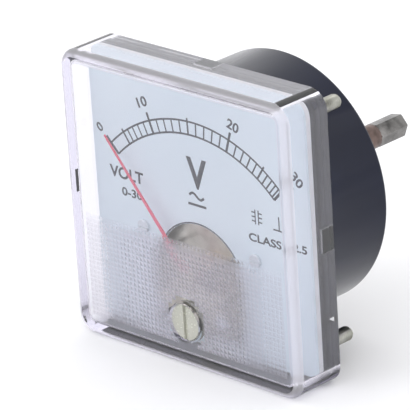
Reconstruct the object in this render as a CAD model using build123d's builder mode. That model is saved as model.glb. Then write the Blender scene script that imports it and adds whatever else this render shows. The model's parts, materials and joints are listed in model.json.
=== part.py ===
from build123d import *
from math import cos, radians, sin
import os

os.makedirs("parts", exist_ok=True)

# Square panel voltmeter with a moving-iron movement. Millimetres, X right, Y back, Z up.
# The origin is the centre of the bezel's back face, on the axis of the round barrel, so the
# panel's front surface is the plane y = 0 and the dial faces -Y.

# ---------------------------------------------------------------- driving dimensions
bezel_size = 60.0
bezel_depth = 12.0
bezel_corner_r = 4.0
front_edge_r = 1.6
cover_wall = 2.2
window_t = 1.8
inner_edge_r = 0.8
cover_gap = 0.15
cover_back = -0.2

flange_depth = 3.7
barrel_r = 26.0
barrel_depth = 19.8
barrel_wall = 1.8
barrel_edge_r = 0.8
rear_wall_t = 2.0

stud_spacing = 48.0
stud_r = 1.5
stud_reach = 9.0
stud_root_r = 1.9
stud_head_r = 2.6
stud_head_t = 1.6

pivot_z = -13.6
rest_angle = -40.2
pointer_tip_r = 34.0

adjuster_z = -20.9
adjuster_head_r = 3.85
adjuster_head_t = 1.0
adjuster_shank_r = 1.45
adjuster_offset = 1.0
adjuster_pin_r = 0.4
running_gap = 0.05

terminal_x = 17.2
terminal_z = 9.8
terminal_hex = 4.4
terminal_end = 34.2

# ---------------------------------------------------------------- depths along Y, front to back
front_y = -bezel_depth
window_back = front_y + window_t
well_floor = front_y + 1.5
boss_back = -9.4
jewel_nut_front = -9.5
lever_front = -8.75
lever_back = -8.4
bridge_front = -8.2
bridge_back = -7.3
needle_front = -7.75
pointer_front = -6.8
pointer_back = -6.55
dial_front = -5.25
dial_back = -4.75
flange_front = -flange_depth
plate_front = -2.8
plate_back = -1.8
bobbin_back = 12.2
vane_front = 13.8
vane_back = 14.1
rear_bridge_front = 15.6
rear_bridge_back = 16.6
cavity_back = barrel_depth - rear_wall_t

# ---------------------------------------------------------------- radii and outlines
inner_size = bezel_size - 2 * cover_wall
flange_size = inner_size - 2 * cover_gap
inner_corner_r = bezel_corner_r - cover_wall
cavity_r = barrel_r - barrel_wall
dial_size = 55.0
cutout_r = 11.4
cutout_bottom = -24.3
spindle_r = 0.5
hub_r = 1.6
bobbin_r = 9.6
bobbin_bore_r = 5.2
winding_r = 9.1
dial_screw_x = 15.0
dial_screw_z = -5.9
boss_x = 18.5
boss_z = -1.5
bridge_post_r = 10.0
bridge_post_angle = 125.0
frame_post_r = 11.8
frame_post_angle = 70.0
magnet_angle = 180.0
tab_angle = 97.0
tab_r = 8.6


def facing_front(y, x=0.0, z=0.0):
    """Plane at depth y that faces the reader: local x is X, local y is Z, extrusion goes to -Y."""
    return Plane(origin=(x, y, z), x_dir=(1, 0, 0), z_dir=(0, -1, 0))


def facing_back(y, x=0.0, z=0.0):
    """Plane at depth y that faces the back: extrusion goes to +Y, local y is -Z."""
    return Plane(origin=(x, y, z), x_dir=(1, 0, 0), z_dir=(0, 1, 0))


def on_pivot(y, dial_angle=90.0):
    """Plane at depth y on the pivot axis, its local x pointing along a dial angle."""
    direction = (sin(radians(dial_angle)), 0, cos(radians(dial_angle)))
    return Plane(origin=(0, y, pivot_z), x_dir=direction, z_dir=(0, -1, 0))


def polar(radius, dial_angle):
    """Point (X, Z) at a radius from the pivot. Dial angles are clockwise from straight up."""
    turn = radians(dial_angle)
    return radius * sin(turn), pivot_z + radius * cos(turn)


def ring_sector(r_in, r_out, dial_middle, span):
    """Flat ring sector about the pivot, centred on a dial angle."""
    start = 90 - dial_middle - span / 2
    with BuildSketch() as sector:
        with BuildLine():
            inner = CenterArc((0, 0), r_in, start, span)
            outer = CenterArc((0, 0), r_out, start, span)
            Line(inner @ 0, outer @ 0)
            Line(inner @ 1, outer @ 1)
        make_face()
    return sector.sketch


def bar_outline(points, widths):
    """Outline that wraps circles at the given points: a link with rounded ends."""
    with BuildSketch() as outline:
        for point, width in zip(points, widths):
            with Locations(point):
                Circle(width / 2)
        make_hull()
    return outline.sketch


def slotted_screw(head_r, head_t, shank_r, shank_length, slot_w):
    """Screw with its head above local z = 0 and its shank below."""
    slot_depth = 0.5 * head_t
    edge_r = 0.3 * head_t
    with BuildPart() as screw:
        with BuildSketch():
            Circle(head_r)
        extrude(amount=head_t)
        fillet(screw.faces().sort_by(Axis.Z)[-1].edges(), edge_r)
        with BuildSketch(Plane.XY.offset(head_t)):
            Rectangle(2.2 * head_r, slot_w)
        extrude(amount=-slot_depth, mode=Mode.SUBTRACT)
        with BuildSketch():
            Circle(shank_r)
        extrude(amount=-shank_length)
    return screw.part


def tube_run(points, radii, radius):
    """Round wire along straight runs joined by tangent arcs."""
    with BuildPart() as wire:
        with BuildLine() as route:
            FilletPolyline(*points, radius=radii)
        with BuildSketch(Plane(origin=route.line @ 0, z_dir=route.line % 0)):
            Circle(radius)
        sweep()
    return wire.part


# ================================================================ case: cover, base and dial
clip_w = 4.8
clip_reach = 1.1
clip_top = -2.3
boss_r = 4.3
well_gap = 0.15

with BuildPart() as front_cover:
    with BuildSketch(facing_front(cover_back)):
        RectangleRounded(bezel_size, bezel_size, bezel_corner_r)
    extrude(amount=cover_back - front_y)
    fillet(front_cover.faces().sort_by(Axis.Y)[0].edges(), front_edge_r)
    with BuildSketch(facing_front(cover_back)):
        RectangleRounded(inner_size, inner_size, inner_corner_r)
    extrude(amount=cover_back - window_back, mode=Mode.SUBTRACT)
    pocket_floor = front_cover.edges().filter_by_position(Axis.Y, window_back, window_back)
    fillet(pocket_floor, inner_edge_r)
    with BuildSketch(facing_front(boss_back, z=adjuster_z)):
        Circle(boss_r)
    extrude(amount=boss_back - window_back)
    with BuildSketch(facing_front(well_floor, z=adjuster_z)):
        Circle(adjuster_head_r + well_gap)
    extrude(amount=well_floor - front_y, mode=Mode.SUBTRACT)
    with BuildSketch(facing_front(boss_back, z=adjuster_z)):
        Circle(adjuster_shank_r + running_gap)
    extrude(amount=boss_back - front_y, mode=Mode.SUBTRACT)

notch_gap = 0.1
notch_depth = clip_reach + notch_gap
notch_line = flange_size / 2 - notch_depth / 2
vent_w = 1.0
vent_z = -16.7
groove_front = -2.7
groove_back = -2.3
groove_depth = 0.35
boss_column_r = 3.0
boss_bore_r = 0.95
boss_bore_depth = 6.0
terminal_hole_r = 2.0
recess_r = 24.0
recess_depth = 0.5

with BuildPart() as base_housing:
    with BuildSketch(facing_front(0)):
        RectangleRounded(flange_size, flange_size, inner_corner_r - cover_gap)
    extrude(amount=flange_depth)
    with BuildSketch(facing_front(groove_back)):
        Rectangle(bezel_size, bezel_size)
        RectangleRounded(
            flange_size - 2 * groove_depth, flange_size - 2 * groove_depth, inner_corner_r, mode=Mode.SUBTRACT
        )
    extrude(amount=groove_back - groove_front, mode=Mode.SUBTRACT)
    with BuildSketch(facing_front(barrel_depth)):
        Circle(barrel_r)
    extrude(amount=barrel_depth)
    fillet(base_housing.faces().sort_by(Axis.Y)[-1].edges(), barrel_edge_r)
    with BuildSketch(facing_front(barrel_depth)):
        Circle(recess_r)
    extrude(amount=recess_depth, mode=Mode.SUBTRACT)
    with BuildSketch(facing_front(cavity_back)):
        Circle(cavity_r)
    extrude(amount=cavity_back - flange_front, mode=Mode.SUBTRACT)
    with BuildSketch(facing_front(cavity_back)):
        with Locations((-boss_x, boss_z), (boss_x, boss_z)):
            Circle(boss_column_r)
    extrude(amount=cavity_back - plate_back)
    with BuildSketch(facing_front(plate_back + boss_bore_depth)):
        with Locations((-boss_x, boss_z), (boss_x, boss_z)):
            Circle(boss_bore_r)
    extrude(amount=boss_bore_depth, mode=Mode.SUBTRACT)
    with BuildSketch(facing_front(0)):
        with Locations((notch_line, 0), (-notch_line, 0)):
            Rectangle(notch_depth, clip_w + 2 * notch_gap)
        with Locations((0, notch_line), (0, -notch_line)):
            Rectangle(clip_w + 2 * notch_gap, notch_depth)
    extrude(amount=notch_gap - clip_top, mode=Mode.SUBTRACT)
    with BuildSketch(facing_front(0)):
        with Locations((notch_line, vent_z), (-notch_line, vent_z)):
            Rectangle(notch_depth, vent_w)
    extrude(amount=flange_depth, mode=Mode.SUBTRACT)
    with BuildSketch(facing_front(0)):
        with GridLocations(stud_spacing, stud_spacing, 2, 2):
            Circle(stud_root_r)
    extrude(amount=flange_depth, mode=Mode.SUBTRACT)
    with BuildSketch(facing_front(flange_front + stud_head_t)):
        with GridLocations(stud_spacing, stud_spacing, 2, 2):
            Circle(stud_head_r)
    extrude(amount=stud_head_t, mode=Mode.SUBTRACT)
    with BuildSketch(facing_front(barrel_depth)):
        with Locations((-terminal_x, terminal_z), (terminal_x, terminal_z)):
            Circle(terminal_hole_r)
    extrude(amount=rear_wall_t, mode=Mode.SUBTRACT)

clip_line = inner_size / 2 - clip_reach / 2

with BuildPart() as cover_clips:
    with BuildSketch(facing_front(cover_back)):
        with Locations((clip_line, 0), (-clip_line, 0)):
            Rectangle(clip_reach, clip_w)
        with Locations((0, clip_line), (0, -clip_line)):
            Rectangle(clip_w, clip_reach)
    extrude(amount=cover_back - clip_top)

stud_point = 0.35

with BuildPart() as mounting_studs:
    with BuildSketch(facing_front(stud_reach)):
        with GridLocations(stud_spacing, stud_spacing, 2, 2):
            Circle(stud_r)
    extrude(amount=stud_reach)
    chamfer(mounting_studs.faces().group_by(Axis.Y)[-1].edges(), stud_point)
    with BuildSketch(facing_front(0)):
        with GridLocations(stud_spacing, stud_spacing, 2, 2):
            Circle(stud_root_r)
    extrude(amount=flange_depth - stud_head_t)
    with BuildSketch(facing_front(flange_front + stud_head_t)):
        with GridLocations(stud_spacing, stud_spacing, 2, 2):
            Circle(stud_head_r)
    extrude(amount=stud_head_t)

frame_band = 2.2

with BuildPart() as dial_frame:
    with BuildSketch(facing_front(flange_front)):
        RectangleRounded(flange_size, flange_size, inner_corner_r)
        RectangleRounded(
            flange_size - 2 * frame_band, flange_size - 2 * frame_band, inner_corner_r, mode=Mode.SUBTRACT
        )
    extrude(amount=flange_front - dial_back)

cutout_height = pivot_z - cutout_bottom
dial_corner_r = 1.5
dial_hole_r = 1.1

with BuildPart() as dial_plate:
    with BuildSketch(facing_front(dial_back)):
        RectangleRounded(dial_size, dial_size, dial_corner_r)
        with Locations((0, pivot_z)):
            Circle(cutout_r, mode=Mode.SUBTRACT)
        with Locations((0, pivot_z - cutout_height / 2)):
            Rectangle(2 * cutout_r, cutout_height, mode=Mode.SUBTRACT)
        with Locations((-dial_screw_x, dial_screw_z), (dial_screw_x, dial_screw_z)):
            Circle(dial_hole_r, mode=Mode.SUBTRACT)
    extrude(amount=dial_back - dial_front)

screw_head_r = 1.4
screw_head_t = 0.6
screw_slot = 0.45
dial_screw_shank_r = 0.95
dial_screw_length = 2.2
post_r = 1.7
post_bore_r = 1.0

with BuildPart() as dial_screws:
    with Locations(
        facing_front(dial_front, -dial_screw_x, dial_screw_z),
        facing_front(dial_front, dial_screw_x, dial_screw_z),
    ):
        add(slotted_screw(screw_head_r, screw_head_t, dial_screw_shank_r, dial_screw_length, screw_slot))

with BuildPart() as dial_posts:
    with BuildSketch(facing_front(plate_front)):
        with Locations((-dial_screw_x, dial_screw_z), (dial_screw_x, dial_screw_z)):
            Circle(post_r)
            Circle(post_bore_r, mode=Mode.SUBTRACT)
    extrude(amount=plate_front - dial_back)

# ================================================================ fixed part of the movement
plate_pivot_r = 12.6
plate_edge_r = cavity_r - 0.4
plate_wing_w = 6.4
plate_web_x = 8.0
plate_web_z = -10.0
plate_web_w = 10.0
spindle_hole_r = 3.0
boss_hole_r = 1.1

with BuildPart() as movement_plate:
    with BuildSketch(facing_front(plate_back)):
        with Locations((0, pivot_z)):
            Circle(plate_pivot_r)
        wing_spots = [(-boss_x, boss_z), (boss_x, boss_z)]
        web_spots = [(-plate_web_x, plate_web_z), (plate_web_x, plate_web_z)]
        plate_widths = [plate_wing_w, plate_wing_w, plate_web_w, plate_web_w]
        add(bar_outline(wing_spots + web_spots, plate_widths))
        Circle(plate_edge_r, mode=Mode.INTERSECT)
        with Locations((0, pivot_z)):
            Circle(spindle_hole_r, mode=Mode.SUBTRACT)
        with Locations((-boss_x, boss_z), (boss_x, boss_z)):
            Circle(boss_hole_r, mode=Mode.SUBTRACT)
    extrude(amount=plate_back - plate_front)

movement_screw_head_r = 1.9
movement_screw_head_t = 0.9
movement_screw_length = 5.0

with BuildPart() as movement_screws:
    with Locations(facing_front(plate_front, -boss_x, boss_z), facing_front(plate_front, boss_x, boss_z)):
        add(
            slotted_screw(
                movement_screw_head_r,
                movement_screw_head_t,
                boss_bore_r - running_gap,
                movement_screw_length,
                screw_slot,
            )
        )

bridge_post_spots = [polar(bridge_post_r, -bridge_post_angle), polar(bridge_post_r, bridge_post_angle)]
bridge_hub_w = 5.2
bridge_arm_w = 3.0
jewel_screw_r = 1.2
jewel_r = 0.75
jewel_t = 0.7
cup_r = 0.58
cup_depth = 0.4
cup_taper = 25

with BuildPart() as front_bridge:
    with BuildSketch(facing_front(bridge_back)):
        for spot in bridge_post_spots:
            add(bar_outline([(0, pivot_z), spot], [bridge_hub_w, bridge_arm_w]))
        with Locations((0, pivot_z)):
            Circle(jewel_screw_r, mode=Mode.SUBTRACT)
        with Locations(*bridge_post_spots):
            Circle(boss_hole_r, mode=Mode.SUBTRACT)
    extrude(amount=bridge_back - bridge_front)

bridge_column_r = 1.3
bridge_screw_r = 0.8
bridge_screw_length = 2.6
bridge_screw_head_r = 1.4
bridge_screw_head_t = 0.7

with BuildPart() as bridge_posts:
    with BuildSketch(facing_front(plate_front)):
        with Locations(*bridge_post_spots):
            Circle(bridge_column_r)
    extrude(amount=plate_front - bridge_back)
    with BuildSketch(facing_front(bridge_back + bridge_screw_length)):
        with Locations(*bridge_post_spots):
            Circle(bridge_screw_r + running_gap)
    extrude(amount=bridge_screw_length, mode=Mode.SUBTRACT)

with BuildPart() as bridge_screws:
    with Locations(*[facing_front(bridge_front, x, z) for x, z in bridge_post_spots]):
        add(
            slotted_screw(
                bridge_screw_head_r, bridge_screw_head_t, bridge_screw_r, bridge_screw_length, screw_slot
            )
        )

jewel_screw_back = -6.95
jewel_back = jewel_screw_back
jewel_nut_r = 1.7
jewel_nut_back = lever_front - 0.1
jewel_slot_depth = 0.3

with BuildPart() as front_jewel_screw:
    with BuildSketch(facing_front(jewel_screw_back, z=pivot_z)):
        Circle(jewel_screw_r)
    extrude(amount=jewel_screw_back - jewel_nut_front)
    with BuildSketch(facing_front(jewel_nut_back, z=pivot_z)):
        Circle(jewel_nut_r)
    extrude(amount=jewel_nut_back - jewel_nut_front)
    with BuildSketch(facing_front(jewel_nut_front, z=pivot_z)):
        Rectangle(2.2 * jewel_nut_r, screw_slot)
    extrude(amount=-jewel_slot_depth, mode=Mode.SUBTRACT)
    with BuildSketch(facing_front(jewel_back, z=pivot_z)):
        Circle(jewel_r)
    extrude(amount=jewel_t, mode=Mode.SUBTRACT)

rear_jewel_front = 15.0
rear_jewel_head_back = 17.3

with BuildPart() as rear_jewel_screw:
    with BuildSketch(facing_front(rear_jewel_head_back, z=pivot_z)):
        Circle(jewel_screw_r)
    extrude(amount=rear_jewel_head_back - rear_jewel_front)
    with BuildSketch(facing_back(rear_bridge_back, z=pivot_z)):
        Circle(jewel_nut_r)
    extrude(amount=rear_jewel_head_back - rear_bridge_back)
    with BuildSketch(facing_back(rear_jewel_head_back, z=pivot_z)):
        Rectangle(2.2 * jewel_nut_r, screw_slot)
    extrude(amount=-jewel_slot_depth, mode=Mode.SUBTRACT)
    with BuildSketch(facing_back(rear_jewel_front, z=pivot_z)):
        Circle(jewel_r)
    extrude(amount=jewel_t, mode=Mode.SUBTRACT)

with BuildPart() as pivot_jewels:
    with BuildSketch(facing_front(jewel_back, z=pivot_z)):
        Circle(jewel_r)
    extrude(amount=jewel_t)
    with BuildSketch(facing_front(jewel_back, z=pivot_z)):
        Circle(cup_r)
    extrude(amount=cup_depth, taper=cup_taper, mode=Mode.SUBTRACT)
    with BuildSketch(facing_back(rear_jewel_front, z=pivot_z)):
        Circle(jewel_r)
    extrude(amount=jewel_t)
    with BuildSketch(facing_back(rear_jewel_front, z=pivot_z)):
        Circle(cup_r)
    extrude(amount=cup_depth, taper=cup_taper, mode=Mode.SUBTRACT)

bobbin_flange_t = 0.9
bobbin_tube_r = 6.0
coil_pin_r = 0.5
coil_pin_x = 3.0
coil_pin_z = pivot_z + 8.6
coil_pin_reach = 1.4

with BuildPart() as coil_bobbin:
    with BuildSketch(on_pivot(bobbin_back)):
        Circle(bobbin_r)
    extrude(amount=bobbin_flange_t)
    with BuildSketch(on_pivot(plate_back + bobbin_flange_t)):
        Circle(bobbin_r)
    extrude(amount=bobbin_flange_t)
    with BuildSketch(on_pivot(bobbin_back)):
        Circle(bobbin_tube_r)
    extrude(amount=bobbin_back - plate_back)
    with BuildSketch(on_pivot(bobbin_back)):
        Circle(bobbin_bore_r)
    extrude(amount=bobbin_back - plate_back, mode=Mode.SUBTRACT)

with BuildPart() as coil_pins:
    with BuildSketch(facing_back(bobbin_back)):
        with Locations((-coil_pin_x, -coil_pin_z), (coil_pin_x, -coil_pin_z)):
            Circle(coil_pin_r)
    extrude(amount=coil_pin_reach)

with BuildPart() as coil_winding:
    with BuildSketch(on_pivot(bobbin_back - bobbin_flange_t)):
        Circle(winding_r)
        Circle(bobbin_tube_r, mode=Mode.SUBTRACT)
    extrude(amount=bobbin_back - plate_back - 2 * bobbin_flange_t)

iron_t = 0.5
fixed_iron_r = bobbin_bore_r - iron_t
fixed_iron_middle = -80.0
fixed_iron_span = 110.0
iron_front = 0.0
iron_back = 11.0

with BuildPart() as fixed_iron:
    with BuildSketch(on_pivot(iron_back)):
        add(ring_sector(fixed_iron_r, bobbin_bore_r, fixed_iron_middle, fixed_iron_span))
    extrude(amount=iron_back - iron_front)

frame_post_spots = [polar(frame_post_r, -frame_post_angle), polar(frame_post_r, frame_post_angle)]
frame_column_r = 1.5
frame_screw_r = 0.8
frame_screw_length = 3.0
frame_screw_head_r = 1.8
frame_screw_head_t = 0.8

with BuildPart() as frame_posts:
    with BuildSketch(facing_front(rear_bridge_front)):
        with Locations(*frame_post_spots):
            Circle(frame_column_r)
    extrude(amount=rear_bridge_front - plate_back)
    with BuildSketch(facing_front(rear_bridge_front)):
        with Locations(*frame_post_spots):
            Circle(frame_screw_r + running_gap)
    extrude(amount=frame_screw_length, mode=Mode.SUBTRACT)

magnet_mount_spot = polar(7.2, magnet_angle)
bridge_ear_w = 4.8
bridge_centre_w = 7.0
bridge_tail_w = 5.4

with BuildPart() as rear_bridge:
    with BuildSketch(facing_front(rear_bridge_back)):
        add(bar_outline([*frame_post_spots, (0, pivot_z)], [bridge_ear_w, bridge_ear_w, bridge_centre_w]))
        add(bar_outline([(0, pivot_z), magnet_mount_spot], [bridge_centre_w, bridge_tail_w]))
        with Locations((0, pivot_z)):
            Circle(jewel_screw_r, mode=Mode.SUBTRACT)
        with Locations(*frame_post_spots):
            Circle(boss_hole_r, mode=Mode.SUBTRACT)
    extrude(amount=rear_bridge_back - rear_bridge_front)

with BuildPart() as rear_bridge_screws:
    with Locations(*[facing_back(rear_bridge_back, x, z) for x, z in frame_post_spots]):
        add(
            slotted_screw(
                frame_screw_head_r, frame_screw_head_t, frame_screw_r, frame_screw_length, screw_slot
            )
        )

yoke_r_in = 5.0
yoke_r_out = 10.2
yoke_wall_r = 9.4
yoke_front = 12.4
yoke_leg_t = 0.5
magnet_t = 0.6
magnet_w = 5.0
magnet_length = 3.4
yoke_middle = (yoke_r_in + yoke_r_out) / 2
yoke_leg_back = rear_bridge_front - yoke_leg_t

with BuildPart() as magnet_yoke:
    with BuildSketch(on_pivot(rear_bridge_front, magnet_angle)):
        with Locations((yoke_middle, 0)):
            Rectangle(yoke_r_out - yoke_r_in, magnet_w)
    extrude(amount=rear_bridge_front - yoke_front)
    with BuildSketch(on_pivot(yoke_leg_back, magnet_angle)):
        with Locations(((yoke_r_in + yoke_wall_r) / 2, 0)):
            Rectangle(yoke_wall_r - yoke_r_in, magnet_w)
    extrude(amount=yoke_leg_back - yoke_front - yoke_leg_t, mode=Mode.SUBTRACT)

magnet_spot = 7.0
magnet_block_w = magnet_w - 0.6

with BuildPart() as damping_magnets:
    with BuildSketch(on_pivot(yoke_front + yoke_leg_t + magnet_t, magnet_angle)):
        with Locations((magnet_spot, 0)):
            Rectangle(magnet_length, magnet_block_w)
    extrude(amount=magnet_t)
    with BuildSketch(on_pivot(yoke_leg_back, magnet_angle)):
        with Locations((magnet_spot, 0)):
            Rectangle(magnet_length, magnet_block_w)
    extrude(amount=magnet_t)

stop_angle = 57.2
stop_r = 9.6
stop_pin_r = 0.35
stop_front = -8.1

with BuildPart() as pointer_stops:
    with BuildSketch(facing_front(plate_front)):
        with Locations(polar(stop_r, -stop_angle), polar(stop_r, stop_angle)):
            Circle(stop_pin_r)
    extrude(amount=plate_front - stop_front)

# ================================================================ terminals and wiring
bush_r = 2.45
bush_back = 22.2
collar_r = bush_r
collar_back = 26.0
hex_chamfer = 0.7
hex_turn = 10
terminal_screw_r = 1.7
inner_nut_front = 15.2
inner_nut_hex = 5.5
inner_stud_front = 14.4
lug_t = 0.5
lug_length = 5.0
lug_ring_w = 6.0
lug_tail_w = 2.4
lug_hole_r = 0.55
rear_face = barrel_depth - recess_depth
terminal_spots = [(-terminal_x, terminal_z), (terminal_x, terminal_z)]

with BuildPart() as terminal_studs:
    with BuildSketch(facing_front(collar_back)):
        with Locations(*terminal_spots):
            Circle(terminal_screw_r)
    extrude(amount=collar_back - inner_stud_front)

with BuildPart() as insulating_bushes:
    with BuildSketch(facing_front(bush_back)):
        with Locations(*terminal_spots):
            Circle(bush_r)
    extrude(amount=bush_back - rear_face)
    with BuildSketch(facing_front(rear_face)):
        with Locations(*terminal_spots):
            Circle(terminal_hole_r)
    extrude(amount=rear_face - cavity_back)
    with BuildSketch(facing_front(bush_back)):
        with Locations(*terminal_spots):
            Circle(terminal_screw_r)
    extrude(amount=bush_back - cavity_back, mode=Mode.SUBTRACT)

with BuildPart() as terminal_collars:
    with BuildSketch(facing_front(collar_back)):
        with Locations(*terminal_spots):
            Circle(collar_r)
            Circle(terminal_screw_r, mode=Mode.SUBTRACT)
    extrude(amount=collar_back - bush_back)

with BuildPart() as terminal_posts:
    with BuildSketch(facing_front(terminal_end)):
        with Locations(*terminal_spots):
            RegularPolygon(terminal_hex / 2, 6, major_radius=False, rotation=hex_turn)
    extrude(amount=terminal_end - collar_back)
    chamfer(terminal_posts.faces().group_by(Axis.Y)[-1].edges(), hex_chamfer)

with BuildPart() as solder_lugs:
    with BuildSketch(facing_front(cavity_back)):
        for side in (-1, 1):
            spot = (side * terminal_x, terminal_z)
            tail = (side * (terminal_x - lug_length), terminal_z)
            add(bar_outline([spot, tail], [lug_ring_w, lug_tail_w]))
            with Locations(spot):
                Circle(terminal_screw_r, mode=Mode.SUBTRACT)
            with Locations(tail):
                Circle(lug_hole_r, mode=Mode.SUBTRACT)
    extrude(amount=lug_t)

with BuildPart() as inner_nuts:
    with BuildSketch(facing_front(cavity_back - lug_t)):
        with Locations(*terminal_spots):
            RegularPolygon(inner_nut_hex / 2, 6, major_radius=False)
            Circle(terminal_screw_r, mode=Mode.SUBTRACT)
    extrude(amount=cavity_back - lug_t - inner_nut_front)

resistor_x = 9.0
resistor_y = 8.0
resistor_low = -1.0
resistor_high = 8.0
resistor_r = 1.8
resistor_end_r = 0.5
lead_r = 0.35
lead_start_y = bobbin_back + coil_pin_reach
lug_tail_x = terminal_x - lug_length

with BuildPart() as series_resistor:
    with BuildSketch(Plane.XY.offset(resistor_low)):
        with Locations((resistor_x, resistor_y)):
            Circle(resistor_r)
    extrude(amount=resistor_high - resistor_low)
    fillet(series_resistor.edges().filter_by(GeomType.CIRCLE), resistor_end_r)

with BuildPart() as left_lead:
    add(
        tube_run(
            [
                (-coil_pin_x, lead_start_y, coil_pin_z),
                (-coil_pin_x, lead_start_y + 1.9, coil_pin_z),
                (-8.0, 15.6, 3.5),
                (-lug_tail_x, 15.0, terminal_z),
                (-lug_tail_x, cavity_back - lug_t, terminal_z),
            ],
            [0.8, 2.2, 0.9],
            lead_r,
        )
    )

with BuildPart() as right_lead:
    add(
        tube_run(
            [
                (coil_pin_x, lead_start_y, coil_pin_z),
                (coil_pin_x, lead_start_y + 1.4, coil_pin_z),
                (resistor_x - 1.0, lead_start_y + 1.4, coil_pin_z),
                (resistor_x, resistor_y, resistor_low - 3.2),
                (resistor_x, resistor_y, resistor_low),
            ],
            [0.6, 1.5, 1.4],
            lead_r,
        )
    )

with BuildPart() as resistor_lead:
    add(
        tube_run(
            [
                (resistor_x, resistor_y, resistor_high),
                (resistor_x, resistor_y, terminal_z + 0.6),
                (lug_tail_x, 13.4, terminal_z),
                (lug_tail_x, cavity_back - lug_t, terminal_z),
            ],
            [1.2, 1.4],
            lead_r,
        )
    )

# ================================================================ moving parts
fork_gap = 0.15
fork_w = 3.0
fork_top = adjuster_z + 2.0
fork_end = adjuster_z - 0.7
fork_slot_drop = 0.4
lever_hub_w = 4.4
tab_arm_w = 3.0
lever_thickness = lever_back - lever_front
tab_w = 1.0
tab_t = 0.4
tab_back = -3.7
fork_middle = (fork_top + fork_end) / 2

with BuildPart() as zero_lever:
    with BuildSketch(facing_front(lever_back)):
        add(bar_outline([(0, pivot_z), (0, fork_top)], [lever_hub_w, fork_w]))
        with Locations((0, fork_middle)):
            Rectangle(fork_w, fork_top - fork_end)
        add(bar_outline([(0, pivot_z), polar(tab_r, tab_angle)], [tab_arm_w, tab_w]))
        with Locations((0, fork_middle - fork_slot_drop)):
            Rectangle(2 * (adjuster_pin_r + fork_gap), fork_top - fork_end, mode=Mode.SUBTRACT)
        with Locations((0, pivot_z)):
            Circle(jewel_screw_r + running_gap, mode=Mode.SUBTRACT)
    extrude(amount=lever_thickness)
    with BuildSketch(on_pivot(tab_back, tab_angle)):
        with Locations((tab_r, 0)):
            Rectangle(tab_t, tab_w)
    extrude(amount=tab_back - lever_back)

e_clip_r = 2.2
e_clip_gap = 1.2
e_clip_front = boss_back + running_gap
e_clip_t = 0.35
e_clip_back = e_clip_front + e_clip_t
shank_back = e_clip_back + running_gap
pin_back = lever_back + 0.25
adjuster_head_front = well_floor - adjuster_head_t
adjuster_slot_w = 1.0
adjuster_slot_depth = 0.55
adjuster_chamfer = 0.25

with BuildPart() as zero_adjuster:
    with BuildSketch(facing_front(well_floor, z=adjuster_z)):
        Circle(adjuster_head_r)
    extrude(amount=adjuster_head_t)
    chamfer(zero_adjuster.faces().sort_by(Axis.Y)[0].edges(), adjuster_chamfer)
    with BuildSketch(facing_front(adjuster_head_front, z=adjuster_z)):
        Rectangle(adjuster_slot_w, 2.2 * adjuster_head_r)
    extrude(amount=-adjuster_slot_depth, mode=Mode.SUBTRACT)
    with BuildSketch(facing_front(shank_back, z=adjuster_z)):
        Circle(adjuster_shank_r)
    extrude(amount=shank_back - well_floor)
    with BuildSketch(facing_front(pin_back, z=adjuster_z + adjuster_offset)):
        Circle(adjuster_pin_r)
    extrude(amount=pin_back - shank_back)

with BuildPart() as adjuster_clip:
    with BuildSketch(facing_front(e_clip_back, z=adjuster_z)):
        Circle(e_clip_r)
        Circle(adjuster_shank_r, mode=Mode.SUBTRACT)
        with Locations((0, -e_clip_r)):
            Rectangle(e_clip_gap, 2 * e_clip_r, mode=Mode.SUBTRACT)
    extrude(amount=e_clip_back - e_clip_front)

end_shake = 0.08
spindle_front_tip = jewel_back - cup_depth + end_shake
spindle_rear_tip = rear_jewel_front + cup_depth - end_shake
cone_length = 0.7
spindle_cylinder_front = spindle_front_tip + cone_length
spindle_cylinder_back = spindle_rear_tip - cone_length
point_r = 0.08

with BuildPart() as spindle:
    with BuildSketch(Plane(origin=(0, 0, pivot_z), x_dir=(1, 0, 0), z_dir=(0, 0, 1))):
        with BuildLine():
            Polyline(
                (0, spindle_front_tip),
                (point_r, spindle_front_tip),
                (spindle_r, spindle_cylinder_front),
                (spindle_r, spindle_cylinder_back),
                (point_r, spindle_rear_tip),
                (0, spindle_rear_tip),
                close=True,
            )
        make_face()
    revolve(axis=Axis((0, 0, pivot_z), (0, 1, 0)))

needle_root_w = 0.9
needle_tip_w = 0.36
needle_ring_r = 2.3
needle_start = 1.2
crank_start = 4.2
crank_end = 5.2
needle_t = pointer_back - pointer_front
needle_back = needle_front + needle_t
rest_turn = radians(rest_angle)

with BuildPart() as pointer:
    with BuildSketch(
        Plane(
            origin=(0, 0, pivot_z),
            x_dir=(sin(rest_turn), 0, cos(rest_turn)),
            z_dir=(-cos(rest_turn), 0, sin(rest_turn)),
        )
    ):
        with BuildLine():
            Polyline(
                (needle_start, pointer_front),
                (crank_start, pointer_front),
                (crank_end, needle_front),
                (pointer_tip_r, needle_front),
                (pointer_tip_r, needle_back),
                (crank_end + needle_t / 2, needle_back),
                (crank_start + needle_t / 2, pointer_back),
                (needle_start, pointer_back),
                close=True,
            )
        make_face()
    extrude(amount=needle_root_w, both=True)
    with BuildSketch(on_pivot(pointer_back, rest_angle)):
        with BuildLine():
            Polyline(
                (needle_start, needle_root_w / 2),
                (pointer_tip_r, needle_tip_w / 2),
                (pointer_tip_r, -needle_tip_w / 2),
                (needle_start, -needle_root_w / 2),
                close=True,
            )
        make_face()
    extrude(amount=pointer_back - needle_front, mode=Mode.INTERSECT)
    with BuildSketch(on_pivot(pointer_back)):
        Circle(needle_ring_r)
    extrude(amount=needle_t)
    with BuildSketch(on_pivot(pointer_back)):
        Circle(spindle_r)
    extrude(amount=needle_t, mode=Mode.SUBTRACT)

hub_back = -4.9
arm_front = -5.55
arm_back = -5.15
arm_w = 0.6
tail_arm = 7.6
side_arm = 6.4
weight_r = 0.9

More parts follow.
